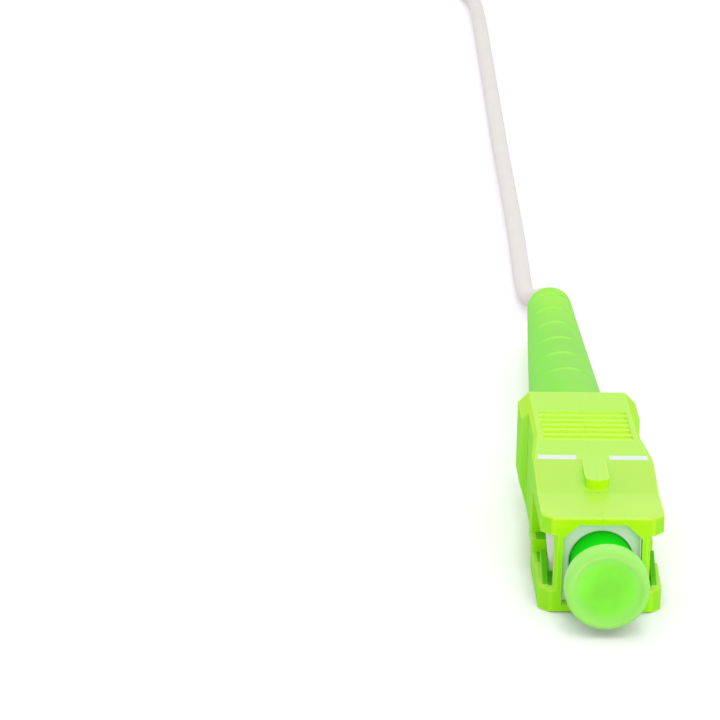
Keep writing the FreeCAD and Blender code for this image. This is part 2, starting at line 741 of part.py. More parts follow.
def add_rod(label, start, ahead, inside, outside, length):
    """Add a rod, or a tube if it has an inside diameter, along a direction."""
    rod = doc.addObject("Part::Cylinder", label + "_rod")
    rod.setExpression("Radius", cell("(" + outside + ") / 2"))
    rod.setExpression("Height", cell(length))
    result = rod
    if value(inside) > 0:
        bore = doc.addObject("Part::Cylinder", label + "_bore")
        bore.setExpression("Radius", cell("(" + inside + ") / 2"))
        bore.setExpression("Height", cell(length))
        result = doc.addObject("Part::Cut", label)
        result.Base = rod
        result.Tool = bore
    result.Label = label
    turn_ahead = FreeCAD.Rotation(FreeCAD.Vector(0, 0, 1), ahead)
    place = start - FreeCAD.Vector(0, value("origin_back"), 0)
    result.Placement = FreeCAD.Placement(place, turn_ahead)
    sub_parts.append(result)


def check_sub_parts():
    """Stop if any object failed, or any sub-part isn't one sound solid."""
    for item in doc.Objects:
        if "Invalid" in item.State or "Error" in item.State:
            raise RuntimeError("%s failed: %s" % (item.Name, item.State))
        if item.TypeId in ("PartDesign::Pocket", "PartDesign::Groove"):
            if item.Shape.Volume > item.BaseFeature.Shape.Volume - 1e-6:
                raise RuntimeError("%s cuts nothing" % item.Name)
    for part in sub_parts:
        shape = part.Shape
        if shape.isNull() or not shape.isValid() or len(shape.Solids) != 1:
            raise RuntimeError("%s isn't one sound solid" % part.Label)


def write_sub_parts():
    """Write each sub-part to a STEP file of its own."""
    os.makedirs("parts", exist_ok=True)
    for part in sub_parts:
        part.Shape.exportStep("parts/%s.step" % part.Label)
        box = part.Shape.BoundBox
        print("%-16s %8.2f mm3  x %.2f to %.2f  y %.2f to %.2f  z %.2f to %.2f" % (
            part.Label, part.Shape.Volume, box.XMin, box.XMax, box.YMin, box.YMax,
            box.ZMin, box.ZMax))


doc = FreeCAD.newDocument("sc_fibre_connector")
sheet = doc.addObject("Spreadsheet::Sheet", "Sizes")
for row, (name, size) in enumerate(SIZES.items(), start=1):
    sheet.set("A%d" % row, name)
    sheet.set("B%d" % row, str(size))
    sheet.setAlias("B%d" % row, name)
doc.recompute()
sub_parts = []

make_outer_housing()
make_plug_frame()
make_ferrule()
make_flange()
make_spring()
make_rear_body()
make_cable_grip()
make_boot()
make_dust_cap()
make_cable_run("cable_run", placed(ROUTE, "floor_level", "axis"))
make_hank()
make_hank_tie()
make_cable_run("cable_tail", placed(TAIL_ROUTE, "inside_level", "top_level"))
make_stripped_end()
doc.recompute()
check_sub_parts()
write_sub_parts()
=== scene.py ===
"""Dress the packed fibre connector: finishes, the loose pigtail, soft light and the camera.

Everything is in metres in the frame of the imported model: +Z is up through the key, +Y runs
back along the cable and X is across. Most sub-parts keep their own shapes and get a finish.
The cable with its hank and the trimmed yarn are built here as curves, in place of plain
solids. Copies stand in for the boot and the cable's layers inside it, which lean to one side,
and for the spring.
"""
from __future__ import annotations

import logging
import math
import random
from collections.abc import Sequence
from dataclasses import dataclass
from enum import Enum
from typing import Union

import bpy
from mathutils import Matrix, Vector


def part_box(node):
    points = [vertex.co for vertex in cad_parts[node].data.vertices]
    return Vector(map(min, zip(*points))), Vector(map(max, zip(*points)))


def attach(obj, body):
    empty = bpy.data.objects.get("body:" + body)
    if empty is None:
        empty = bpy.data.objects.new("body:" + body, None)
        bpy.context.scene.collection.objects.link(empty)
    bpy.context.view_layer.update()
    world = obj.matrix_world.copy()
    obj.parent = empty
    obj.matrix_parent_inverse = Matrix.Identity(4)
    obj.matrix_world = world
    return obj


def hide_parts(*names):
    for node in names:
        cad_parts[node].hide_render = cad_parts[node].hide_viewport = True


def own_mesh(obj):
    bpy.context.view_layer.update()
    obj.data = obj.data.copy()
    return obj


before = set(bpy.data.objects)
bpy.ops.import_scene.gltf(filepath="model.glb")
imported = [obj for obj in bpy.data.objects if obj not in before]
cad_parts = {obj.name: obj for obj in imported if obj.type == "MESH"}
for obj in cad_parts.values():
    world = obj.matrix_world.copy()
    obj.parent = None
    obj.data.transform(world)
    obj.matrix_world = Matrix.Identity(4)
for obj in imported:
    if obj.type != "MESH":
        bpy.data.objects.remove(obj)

Colour = tuple[float, float, float]
Point = tuple[float, float, float]
Step = tuple[float, float]  # where a mask changes, and how wide the change is
Value = Union["Wire", float]

MM = 0.001
WHITE: Colour = (1.0, 1.0, 1.0)
BLACK: Colour = (0.0, 0.0, 0.0)
CLOUDS: Step = (0.5, 0.5)
BEVEL_SAMPLES = 6
EDGE_AGREEMENT: Step = (0.985, 0.03)  # of the rounded and the flat direction, near an edge
WAVE_TURN = 20.0  # radians of a wave texture's bands in one unit of its own
SPLINE_ORDER = 3
LOG = logging.getLogger("connector")


def srgb(red: int, green: int, blue: int) -> Colour:
    """Turn display values from 0 to 255 into the linear colour that a shader takes.

    Args:
        red: Display value of red.
        green: Display value of green.
        blue: Display value of blue.

    Returns:
        The linear colour.
    """
    def linear(step: int) -> float:
        """Take one display value to linear light."""
        share = step / 255
        return share / 12.92 if share <= 0.04045 else ((share + 0.055) / 1.055) ** 2.4
    return (linear(red), linear(green), linear(blue))


BUFFER_COATING: Colour = srgb(238, 238, 228)
YARN_GOLD: Colour = srgb(222, 196, 96)


class Side(Enum):
    """A coordinate of a surface point."""

    ACROSS = "X"
    BACK = "Y"
    UP = "Z"


class Wire:
    """A socket's value, used in sums as if it were a number."""

    def __init__(self, shader: Tree, socket: bpy.types.NodeSocket) -> None:
        """Wrap one output socket of a node tree."""
        self.shader = shader
        self.socket = socket

    def __add__(self, other: Value) -> Wire:
        """Add a value."""
        return self.shader.math("ADD", self, other)

    def __radd__(self, other: float) -> Wire:
        """Add to a number."""
        return self.shader.math("ADD", other, self)

    def __sub__(self, other: Value) -> Wire:
        """Take a value away."""
        return self.shader.math("SUBTRACT", self, other)

    def __rsub__(self, other: float) -> Wire:
        """Take this from a number."""
        return self.shader.math("SUBTRACT", other, self)

    def __mul__(self, other: Value) -> Wire:
        """Multiply by a value."""
        return self.shader.math("MULTIPLY", self, other)

    def __rmul__(self, other: float) -> Wire:
        """Multiply a number."""
        return self.shader.math("MULTIPLY", other, self)

    def __truediv__(self, other: Value) -> Wire:
        """Divide by a value."""
        return self.shader.math("DIVIDE", self, other)

    def __abs__(self) -> Wire:
        """Drop the sign."""
        return self.shader.math("ABSOLUTE", self)

    def above(self, edge: float, blur: float) -> Wire:
        """Rise smoothly from 0 to 1 as the value passes an edge.

        Args:
            edge: Where the rise is half way.
            blur: How wide the rise is.

        Returns:
            The mask.
        """
        return self.shader.node(
            "ShaderNodeMapRange", {"interpolation_type": "SMOOTHSTEP"},
            {"Value": self, "From Min": edge - blur / 2, "From Max": edge + blur / 2})

    def below(self, edge: float, blur: float) -> Wire:
        """Fall smoothly from 1 to 0 as the value passes an edge."""
        return 1.0 - self.above(edge, blur)

    def between(self, low: float, high: float, blur: float) -> Wire:
        """Give 1 between two edges and 0 outside them, with both edges blurred alike."""
        return self.above(low, blur) * self.below(high, blur)


class Tree:
    """A node tree under construction."""

    def __init__(self, tree: bpy.types.NodeTree) -> None:
        """Work on that tree."""
        self.tree = tree

    def node(self, kind: str, settings: dict[str, object] | None = None,
             inputs: dict[str, object] | None = None, output: str = "") -> Wire:
        """Add a node of any type.

        Args:
            kind: The node's type.
            settings: Properties of the node, which are set first.
            inputs: Values or wires for the sockets, by name or identifier.
            output: The wanted output, by name or identifier, or the first one.

        Returns:
            The output.
        """
        made = self.tree.nodes.new(kind)
        for key, setting in (settings or {}).items():
            setattr(made, key, setting)
        for key, value in (inputs or {}).items():
            self.feed(self._find(made.inputs, key), value)
        socket = self._find(made.outputs, output) if output else made.outputs[0]
        return Wire(self, socket)

    @staticmethod
    def _find(sockets: bpy.types.bpy_prop_collection, key: str) -> bpy.types.NodeSocket:
        """Find a socket by its identifier or, failing that, its name.

        Args:
            sockets: A node's inputs or outputs.
            key: The identifier or name.

        Returns:
            The socket.
        """
        for socket in sockets:
            if socket.identifier == key:
                return socket
        return sockets[key]

    def feed(self, socket: bpy.types.NodeSocket, value: object) -> None:
        """Link a wire to a socket or set its plain value.

        Args:
            socket: The input socket.
            value: A wire, a colour or any value that the socket takes.
        """
        if isinstance(value, Wire):
            self.tree.links.new(value.socket, socket)
        elif socket.type == "RGBA":
            socket.default_value = (*value, 1.0)
        else:
            socket.default_value = value

    def math(self, operation: str, first: Value, second: Value = 0.0) -> Wire:
        """Add a Math node for one operation on one or two values."""
        return self.node("ShaderNodeMath", {"operation": operation},
                         {"Value": first, "Value_001": second})

    def blend(self, share: Wire, start: Wire | Colour, end: Wire | Colour) -> Wire:
        """Mix two colours.

        Args:
            share: 0 for the first colour and 1 for the second.
            start: The first colour.
            end: The second colour.

        Returns:
            The mixed colour.
        """
        return self.node("ShaderNodeMix", {"data_type": "RGBA"},
                         {"Factor_Float": share, "A_Color": start, "B_Color": end},
                         "Result_Color")


class Shader(Tree):
    """A material under construction round one Principled shader."""

    def __init__(self, name: str) -> None:
        """Start a material.

        Args:
            name: The material's name.
        """
        self.material = bpy.data.materials.new(name)
        self.material.use_nodes = True
        super().__init__(self.material.node_tree)
        self.surface = next(n for n in self.tree.nodes if n.type == "BSDF_PRINCIPLED")

    def place(self) -> Wire:
        """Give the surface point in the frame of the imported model."""
        return self.node("ShaderNodeTexCoord", output="Object")

    def along(self, side: Side) -> Wire:
        """Give one coordinate of the surface point, in metres."""
        return self.node("ShaderNodeSeparateXYZ", None, {"Vector": self.place()}, side.value)

    def facing(self, side: Side) -> Wire:
        """Give one part of the direction in which the surface looks, from -1 to 1."""
        normal = self.node("ShaderNodeTexCoord", output="Normal")
        return self.node("ShaderNodeSeparateXYZ", None, {"Vector": normal}, side.value)

    def mottle(self, size: float, detail: float = 2.0) -> Wire:
        """Give a cloudy value from 0 to 1 with patches of about that size in metres."""
        return self.node("ShaderNodeTexNoise", None,
                         {"Vector": self.place(), "Scale": 1 / size, "Detail": detail})

    def shade(self, colour: Colour, size: float, depth: float) -> Wire:
        """Give a colour that is a little darker in cloudy patches.

        Args:
            colour: The clean colour.
            size: About how large the patches are, in metres.
            depth: How much darker they get, as a share.

        Returns:
            The varying colour.
        """
        darker = tuple(part * (1 - depth) for part in colour)
        return self.blend(self.mottle(size).above(*CLOUDS), colour, darker)

    def rounded(self, radius: float) -> Wire:
        """Give the surface's direction with the edges worn round by that radius."""
        return self.node("ShaderNodeBevel", {"samples": BEVEL_SAMPLES}, {"Radius": radius})

    def edges(self, radius: float) -> Wire:
        """Give the mask of the strips beside the edges.

        Args:
            radius: About how wide the strips are, in metres.

        Returns:
            The mask.
        """
        flat = self.node("ShaderNodeNewGeometry", output="True Normal")
        match = self.node("ShaderNodeVectorMath", {"operation": "DOT_PRODUCT"},
                          {"Vector": self.rounded(radius), "Vector_001": flat}, "Value")
        return match.below(*EDGE_AGREEMENT)

    def relief(self, height: Wire, depth: float, radius: float = 0.0) -> None:
        """Raise the surface by a height value, with its edges worn round.

        Args:
            height: The height, where 1 stands for the whole depth.
            depth: The height of the relief, in metres.
            radius: The radius of the edges, in metres, or 0 to leave them sharp.
        """
        links: dict[str, object] = {"Height": height, "Distance": depth, "Strength": 1.0}
        if radius:
            links["Normal"] = self.rounded(radius)
        self.vary("Normal", self.node("ShaderNodeBump", None, links))

    def vary(self, socket: str, wire: Wire) -> None:
        """Let a socket of the Principled shader follow a wire."""
        self.tree.links.new(wire.socket, self.surface.inputs[socket])

    def fix(self, **values: object) -> None:
        """Set sockets of the Principled shader.

        Args:
            values: The values by the sockets' names, with _ for each space.
        """
        for key, value in values.items():
            name = " ".join(word if word == "IOR" else word.capitalize()
                            for word in key.split("_"))
            self.feed(self.surface.inputs[name], value)


@dataclass(frozen=True)
class Finish:
    """What every finish has: a name, a colour, a roughness and how they vary."""

    name: str
    colour: Colour
    roughness: float = 0.4
    patch: float = 3 * MM
    patch_depth: float = 0.03
    gloss_patch: float = 0.7
    gloss_swing: float = 0.1

    def material(self) -> bpy.types.Material:
        """Build the finish.

        Returns:
            The material.
        """
        shader = Shader(self.name)
        shader.vary("Base Color", self.tint(shader))
        shader.vary("Roughness", self.gloss(shader))
        self.dress(shader)
        return shader.material

    def tint(self, shader: Shader) -> Wire:
        """Give the colour over the surface."""
        return shader.shade(self.colour, self.patch, self.patch_depth)

    def gloss(self, shader: Shader) -> Wire:
        """Give the roughness over the surface, a little higher or lower in patches."""
        clouds = shader.mottle(self.patch * self.gloss_patch)
        return self.roughness * (1 - self.gloss_swing + 2 * self.gloss_swing * clouds)

    def dress(self, shader: Shader) -> None:
        """Add what is special to the finish."""


@dataclass(frozen=True)
class Grained(Finish):
    """A finish with a fine grain all over it, and edges that may be worn round."""

    grain: float = 0.5 * MM
    grain_depth: float = 0.006 * MM
    grain_detail: float = 3.0
    edge: float = 0.0

    def dress(self, shader: Shader) -> None:
        """Add the grain."""
        shader.relief(shader.mottle(self.grain, self.grain_detail), self.grain_depth,
                      self.edge)


@dataclass(frozen=True)
class Jacket(Grained):
    """Extruded cable jacket, smooth but for a slight unevenness."""


@dataclass(frozen=True)
class MouldedPlastic(Grained):
    """Injection moulded plastic with a fine grain and slightly rounded edges."""

    grain: float = 0.16 * MM
    grain_depth: float = 0.003 * MM
    grain_detail: float = 2.0
    edge: float = 0.1 * MM
    shine: float = 1.45

    def dress(self, shader: Shader) -> None:
        """Add the grain and the plastic's own shine."""
        super().dress(shader)
        shader.fix(IOR=self.shine)


@dataclass(frozen=True, kw_only=True)
class HousingPlastic(MouldedPlastic):
    """The housing's plastic, with two printed bars and a fine line where its mould parted.

    Its colour goes by where a face is and which way it looks, in painted light and shade:
    paler on top, deeper low on the front and brightest along the edges, with painted
    highlights.
    """

    # The print's colour and the painted light and shade, and how strongly some of them are
    # laid on.
    print_colour: Colour = (0.79, 0.86, 0.88)
    # Painted shade: a little darker behind the nose, deeper towards the back and on the ramp's
    # faces.
    crease_shade_colour: Colour = srgb(186, 243, 77)
    back_shade_colour: Colour = srgb(182, 243, 60)
    ramp_shade_colour: Colour = srgb(185, 237, 83)
    # Painted light on the ribs' sloping faces.
    rib_light_colour: Colour = srgb(204, 254, 60)
    # Painted shade on the flanks, the opening's walls, the front corners and the fronts,
    # deepest low on the front.
    flank_shade_colour: Colour = srgb(155, 240, 60)
    inner_shade_colour: Colour = srgb(90, 202, 1)
    corner_shade_colour: Colour = srgb(162, 243, 40)
    front_shade_colour: Colour = srgb(192, 250, 0)
    deep_shade_colour: Colour = srgb(165, 255, 0)
    # Painted light on the front faces behind the shoulder.
    shoulder_light_colour: Colour = srgb(186, 252, 84)
    # Painted highlights along the edges, dimmed on the walls of the opening.
    edge_highlight_colour: Colour = (0.76, 1.0, 0.08)
    edge_highlight_width: float = 0.22 * MM
    edge_highlight_share: float = 0.5
    inner_dimming: float = 0.8
    side_roughness: float = 0.8
    specular: float = 0.36

    # Where the painted light and shade lie.
    inner_across: float = 4.2 * MM
    inner_below: float
    inner_front: float
    inner_back: float
    crease_at: float
    crease_blur: float = 2.4 * MM
    back_behind: float
    back_blur: float = 8.0 * MM
    deep_below: float
    deep_blur: float = 3.0 * MM
    shoulder_behind: float
    key_above: float
    key_blur: float = 0.04 * MM
    mask_blur: float = 0.1 * MM

    # Which faces take them, by one part of the direction in which they look.
    level_faces: Step = (0.9, 0.02)
    ramp_faces: Step = (-0.03, 0.02)
    rib_faces: Step = (0.05, 0.02)
    flank_faces: Step = (0.8, 0.05)
    sideways_faces: Step = (0.5, 0.05)
    rough_faces: Step = (0.5, 0.2)
    slanting_faces: Step = (-0.5, 0.05)
    front_faces: Step = (-0.85, 0.05)
    key_faces: Step = (-0.4, 0.2)

    # The printed bars.
    bar_front: float
    bar_back: float
    bar_inside: float
    bar_outside: float
    bar_level: float
    ink_blur: float = 0.05 * MM
    ink_wear: float = 0.07
    ink_grain: float = 0.25 * MM
    ink_clouds: Step = (0.45, 0.3)

    # The relief, with the height of each part as a share of its depth.
    seam: float = 0.035 * MM
    relief_depth: float = 0.006 * MM
    grain_share: float = 0.35
    seam_share: float = 1.6
    ink_share: float = 0.8

    def bars(self, shader: Shader) -> Wire:
        """Work out where the bars are printed on the top face.

        Args:
            shader: The material under construction.

        Returns:
            The mask of the ink, which is slightly worn.
        """
        across = abs(shader.along(Side.ACROSS))
        inked = across.between(self.bar_inside, self.bar_outside, self.ink_blur)
        inked = inked * shader.along(Side.BACK).between(self.bar_front, self.bar_back,
                                                        self.ink_blur)
        inked = inked * shader.along(Side.UP).above(self.bar_level, self.ink_blur)
        kept = shader.mottle(self.ink_grain).above(*self.ink_clouds)
        return inked * (1 - self.ink_wear + self.ink_wear * kept)

    def gloss(self, shader: Shader) -> Wire:
        """Work out the roughness, which is higher on the faces that look sideways.

        Args:
            shader: The material under construction.

        Returns:
            The roughness.
        """
        plain = super().gloss(shader)
        side = abs(shader.facing(Side.ACROSS)).above(*self.rough_faces)
        return plain + side * (self.side_roughness - plain)

    def inner_walls(self, shader: Shader) -> Wire:
        """Work out where the walls of the opening round the plug's frame are, which take
        painted shade.

        Args:
            shader: The material under construction.

        Returns:
            The mask of the walls.
        """
        walls = abs(shader.along(Side.ACROSS)).below(self.inner_across, self.mask_blur)
        walls = walls * shader.along(Side.UP).below(self.inner_below, self.mask_blur)
        return walls * shader.along(Side.BACK).between(self.inner_front, self.inner_back,
                                                       self.mask_blur)

    def tint(self, shader: Shader) -> Wire:
        """Lay the painted light and shade over the plastic's colour, and the print over them.

        Args:
            shader: The material under construction.

        Returns:
            The colour over the surface.
        """
        looks_back = shader.facing(Side.BACK)
        looks_aside = abs(shader.facing(Side.ACROSS))
        level = shader.facing(Side.UP).above(*self.level_faces)
        back = shader.along(Side.BACK)
        key = shader.along(Side.UP).above(self.key_above, self.key_blur)
        front = shader.math("MAXIMUM", looks_back.below(*self.front_faces),
                            key * looks_back.below(*self.key_faces))
        deep = shader.along(Side.UP).below(self.deep_below, self.deep_blur)
        corner = (looks_aside.above(*self.sideways_faces)
                  * looks_back.below(*self.slanting_faces) * (1.0 - key))
        inside = self.inner_walls(shader)
        # Painted highlights along the edges, dimmed inside the opening.
        edges = (self.edge_highlight_share * shader.edges(self.edge_highlight_width)
                 * (1.0 - self.inner_dimming * inside))
        plastic = shader.shade(self.colour, self.patch, self.patch_depth)
        # Painted shade and painted light by place and facing, with the print on top.
        for share, colour in (
                (back.above(self.crease_at, self.crease_blur), self.crease_shade_colour),
                (back.above(self.back_behind, self.back_blur), self.back_shade_colour),
                (level * looks_back.below(*self.ramp_faces), self.ramp_shade_colour),
                (level * looks_back.above(*self.rib_faces), self.rib_light_colour),
                (looks_aside.above(*self.flank_faces), self.flank_shade_colour),
                (inside, self.inner_shade_colour),
                (corner, self.corner_shade_colour),
                (front, self.front_shade_colour),
                (front * deep, self.deep_shade_colour),
                (front * back.above(self.shoulder_behind, self.mask_blur),
                 self.shoulder_light_colour),
                (edges, self.edge_highlight_colour),
                (self.bars(shader), self.print_colour)):
            plastic = shader.blend(share, plastic, colour)
        return plastic

    def dress(self, shader: Shader) -> None:
        """Add the grain, the parting line and the raised film of the print.

        Args:
            shader: The material under construction.
        """
        shader.fix(IOR=self.shine, Specular_IOR_Level=self.specular)
        line = abs(shader.along(Side.ACROSS)).below(self.seam, self.seam)
        height = (self.grain_share * shader.mottle(self.grain, self.grain_detail)
                  + self.seam_share * line + self.ink_share * self.bars(shader))
        shader.relief(height, self.relief_depth, self.edge)


@dataclass(frozen=True, kw_only=True)
class RingedRubber(MouldedPlastic):
    """The boot's rubber, with painted light in its grooves, brightest on top, a lighter,
    yellower far end of painted light and a greener left side of painted shade.
    """

    # Painted light in the grooves and at the far end, painted shade on the left side.
    ring_light_colour: Colour = (0.28, 0.87, 0.06)
    ring_highlight_colour: Colour = (0.4, 0.97, 0.11)
    far_light_colour: Colour = (0.32, 0.89, 0.005)
    side_shade_colour: Colour = (0.2, 0.83, 0.01)
    ring_share: float = 0.75
    side_shade_share: float = 0.8
    ring_start: float
    ring_pitch: float
    ring_width: float
    ring_blur: float = 0.1 * MM
    shine_across: float = 1.1 * MM
    far_behind: float
    far_blur: float = 16.0 * MM
    side_inside: float = -0.9 * MM
    side_blur: float = 1.6 * MM

    def rings(self, shader: Shader) -> Wire:
        """Work out where the grooves are, from the first one to the boot's end.

        Args:
            shader: The material under construction.

        Returns:
            The mask of the grooves.
        """
        back = shader.along(Side.BACK)
        turn = shader.math("FRACT", (back - self.ring_start) / self.ring_pitch)
        ring = (turn * self.ring_pitch).below(self.ring_width, self.ring_blur)
        return ring * back.above(self.ring_start, self.ring_blur)

    def tint(self, shader: Shader) -> Wire:
        """Lay the lighter, yellower far end, the greener left side and the rings over the
        rubber, all painted light and shade.

        Args:
            shader: The material under construction.

        Returns:
            The colour over the surface.
        """
        across = shader.along(Side.ACROSS)
        # Painted light at the far end, painted shade on the left side and painted highlights
        # on top of the rings.
        far = shader.along(Side.BACK).above(self.far_behind, self.far_blur)
        left = self.side_shade_share * across.below(self.side_inside, self.side_blur)
        lit = abs(across).below(self.shine_across, self.shine_across)
        rubber = shader.shade(self.colour, self.patch, self.patch_depth)
        rubber = shader.blend(far, rubber, self.far_light_colour)
        rubber = shader.blend(left, rubber, self.side_shade_colour)
        return shader.blend(self.ring_share * self.rings(shader), rubber,
                            shader.blend(lit, self.ring_light_colour, self.ring_highlight_colour))


@dataclass(frozen=True, kw_only=True)
class CapPlastic(MouldedPlastic):
    """Soft tinted plastic that light spreads in, with a pale rim and lip of painted light and
    a tube painted deeper green as shade.
    """

    # Painted light on the rim and on the lip's upper part, painted shade on the tube.
    rim_light_colour: Colour = srgb(166, 243, 112)
    lip_highlight_colour: Colour = (0.52, 0.99, 0.23)
    tube_shade_colour: Colour = srgb(0, 228, 0)
    axis_height: float
    rim_radius: float
    rim_blur: float
    lip_inside: float
    lip_outside: float
    lip_blur: float = 0.2 * MM
    lip_rise: Step = (0.6 * MM, 2.4 * MM)
    head_back: float
    tube_blur: float = 0.5 * MM
    tube_roughness: float = 0.9
    scatter: float = 0.35
    scatter_depth: float = 0.8 * MM
    scatter_reach: Colour = (0.7, 1.0, 0.5)
    specular: float = 0.2

    def tube(self, shader: Shader) -> Wire:
        """Give the mask of the tube behind the head."""
        return shader.along(Side.BACK).above(self.head_back, self.tube_blur)

    def gloss(self, shader: Shader) -> Wire:
        """Give the roughness, which is higher on the tube."""
        head = super().gloss(shader)
        return head + self.tube(shader) * (self.tube_roughness - head)

    def tint(self, shader: Shader) -> Wire:
        """Lay the painted light of the rim and lip over the head, and the deeper green of
        painted shade over the tube.

        Args:
            shader: The material under construction.

        Returns:
            The colour over the surface.
        """
        up = shader.along(Side.UP) - self.axis_height
        across = shader.along(Side.ACROSS)
        radius = shader.math("SQRT", up * up + across * across)
        rim = radius.above(self.rim_radius, self.rim_blur)
        lip = radius.between(self.lip_inside, self.lip_outside, self.lip_blur)
        head = shader.shade(self.colour, self.patch, self.patch_depth)
        head = shader.blend(rim, head, self.rim_light_colour)
        head = shader.blend(lip * up.above(*self.lip_rise), head, self.lip_highlight_colour)
        return shader.blend(self.tube(shader), head, self.tube_shade_colour)

    def dress(self, shader: Shader) -> None:
        """Add the grain, and let light spread inside the plastic."""
        super().dress(shader)
        shader.fix(Subsurface_Weight=self.scatter, Subsurface_Scale=self.scatter_depth,
                   Subsurface_Radius=self.scatter_reach, Specular_IOR_Level=self.specular)


@dataclass(frozen=True)
class TurnedMetal(Finish):
    """Metal with the fine rings that a lathe leaves."""

    pitch: float = math.tau * 0.12 * MM
    ring_depth: float = 0.002 * MM
    waver: float = 0.4
    edge: float = 0.04 * MM

    def dress(self, shader: Shader) -> None:
        """Add the rings round the connector's axis.

        Args:
            shader: The material under construction.
        """
        shader.fix(Metallic=1.0)
        rings = shader.node(
            "ShaderNodeTexWave", {"wave_type": "BANDS", "bands_direction": "Y"},
            {"Vector": shader.place(), "Scale": math.tau / (WAVE_TURN * self.pitch),
             "Distortion": self.waver})
        shader.relief(rings, self.ring_depth, self.edge)


@dataclass(frozen=True)
class DrawnWire(Grained):
    """Drawn spring wire, finely rough."""

    grain: float = 0.05 * MM
    grain_depth: float = 0.001 * MM
    grain_detail: float = 4.0

    def dress(self, shader: Shader) -> None:
        """Add the roughness to bare metal."""
        super().dress(shader)
        shader.fix(Metallic=1.0)


@dataclass(frozen=True)
class Ceramic(Grained):
    """Ground and polished ceramic."""

    grain: float = 0.03 * MM
    grain_depth: float = 0.0004 * MM
    grain_detail: float = 2.0
    edge: float = 0.03 * MM
    shine: float = 2.1
    polish: float = 0.3

    def dress(self, shader: Shader) -> None:
        """Add the polish."""
        super().dress(shader)
        shader.fix(IOR=self.shine, Coat_Weight=self.polish)


@dataclass(frozen=True)
class Glass(Grained):
    """Clear glass, or plastic as clear, that lets most of the light through."""

    grain: float = 0.4 * MM
    grain_depth: float = 0.0005 * MM
    grain_detail: float = 2.0
    shine: float = 1.46
    clearness: float = 0.7

    def dress(self, shader: Shader) -> None:
        """Let light through."""
        super().dress(shader)
        shader.fix(IOR=self.shine, Transmission_Weight=self.clearness)


@dataclass(frozen=True)
class Yarn(Grained):
    """Bundled filaments of reinforcing yarn, or woven strap."""

    grain: float = 0.05 * MM
    grain_depth: float = 0.01 * MM
    grain_detail: float = 4.0
    sheen: float = 0.25

    def dress(self, shader: Shader) -> None:
        """Add the sheen of fine filaments."""
        super().dress(shader)
        shader.fix(Sheen_Weight=self.sheen)


def finish_node(node: str, material: bpy.types.Material) -> None:
    """Give a sub-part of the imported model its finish.

    Args:
        node: The sub-part's name.
        material: The finish.
    """
    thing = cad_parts[node]
    thing.data.materials.clear()
    thing.data.materials.append(material)
    LOG.info("%s: finish %s", node, material.name)


def stand_in(node: str, name: str, material: bpy.types.Material
             ) -> bpy.types.Object:
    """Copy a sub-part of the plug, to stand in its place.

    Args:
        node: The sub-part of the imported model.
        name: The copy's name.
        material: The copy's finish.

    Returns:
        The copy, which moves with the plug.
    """
    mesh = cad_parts[node].data.copy()
    mesh.materials.clear()
    mesh.materials.append(material)
    piece = bpy.data.objects.new(name, mesh)
    bpy.context.collection.objects.link(piece)
    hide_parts(node)
    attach(piece, "plug")
    LOG.info("%s: built as %s", node, name)
    return piece


def round_curve(name: str, radius: float, steps: int, finish: Finish
                ) -> bpy.types.Object:
    """Start a piece that is one or more round strands.

    Args:
        name: The piece's name.
        radius: The radius of a strand, in metres.
        steps: How finely a strand is rounded.
        finish: The piece's finish.

    Returns:
        The piece, still without a strand.
    """
    curve = bpy.data.curves.new(name, "CURVE")
    curve.dimensions = "3D"
    curve.bevel_depth = radius
    curve.bevel_resolution = steps
    curve.materials.append(finish.material())
    piece = bpy.data.objects.new(name, curve)
    bpy.context.collection.objects.link(piece)
    return piece


def add_strand(piece: bpy.types.Object, points: Sequence[Point]) -> None:
    """Run one smooth strand of a round curve along some points.

    Args:
        piece: The round curve.
        points: The points, of which the strand meets the first and the last.
    """
    spline = piece.data.splines.new("NURBS")
    spline.points.add(len(points) - 1)
    for knot, point in zip(spline.points, points):
        knot.co = (*point, 1.0)
    spline.order_u = SPLINE_ORDER
    spline.use_endpoint_u = True


@dataclass
class OuterHousing:
    """The sliding outer housing: lime plastic with two white bars beside the key."""

    colour: Colour = srgb(191, 244, 76)
    # Where the painted shade and light on the housing lie.
    deep_below: float = 5.6 * MM
    bar_behind_front: float = 10.0 * MM
    bar_length: float = 0.9 * MM
    crease_behind_front: float = 4.0 * MM
    shoulder_behind_front: float = 18.0 * MM
    slot_roof: float = 6.1 * MM
    slot_span: tuple[float, float] = (1.1 * MM, 9.6 * MM)
    nose_top: float = 7.43 * MM
    bar_inside: float = 1.25 * MM
    bar_outside: float = 4.1 * MM
    bar_drop: float = 0.5 * MM

    def dress(self) -> None:
        """Finish the housing."""
        low, high = (Vector(corner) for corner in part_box("outer_housing"))
        finish = HousingPlastic(
            "housing_lime", self.colour, roughness=0.34, patch=4 * MM, patch_depth=0.04,
            shine=1.42, edge=0.08 * MM, deep_below=self.deep_below,
            crease_at=low.y + self.crease_behind_front,
            back_behind=low.y + self.bar_behind_front,
            shoulder_behind=low.y + self.shoulder_behind_front,
            key_above=self.nose_top, inner_below=self.slot_roof,
            inner_front=low.y + self.slot_span[0], inner_back=low.y + self.slot_span[1],
            bar_front=low.y + self.bar_behind_front,
            bar_back=low.y + self.bar_behind_front + self.bar_length,
            bar_inside=self.bar_inside, bar_outside=self.bar_outside,
            bar_level=high.z - self.bar_drop)
        finish_node("outer_housing", finish.material())


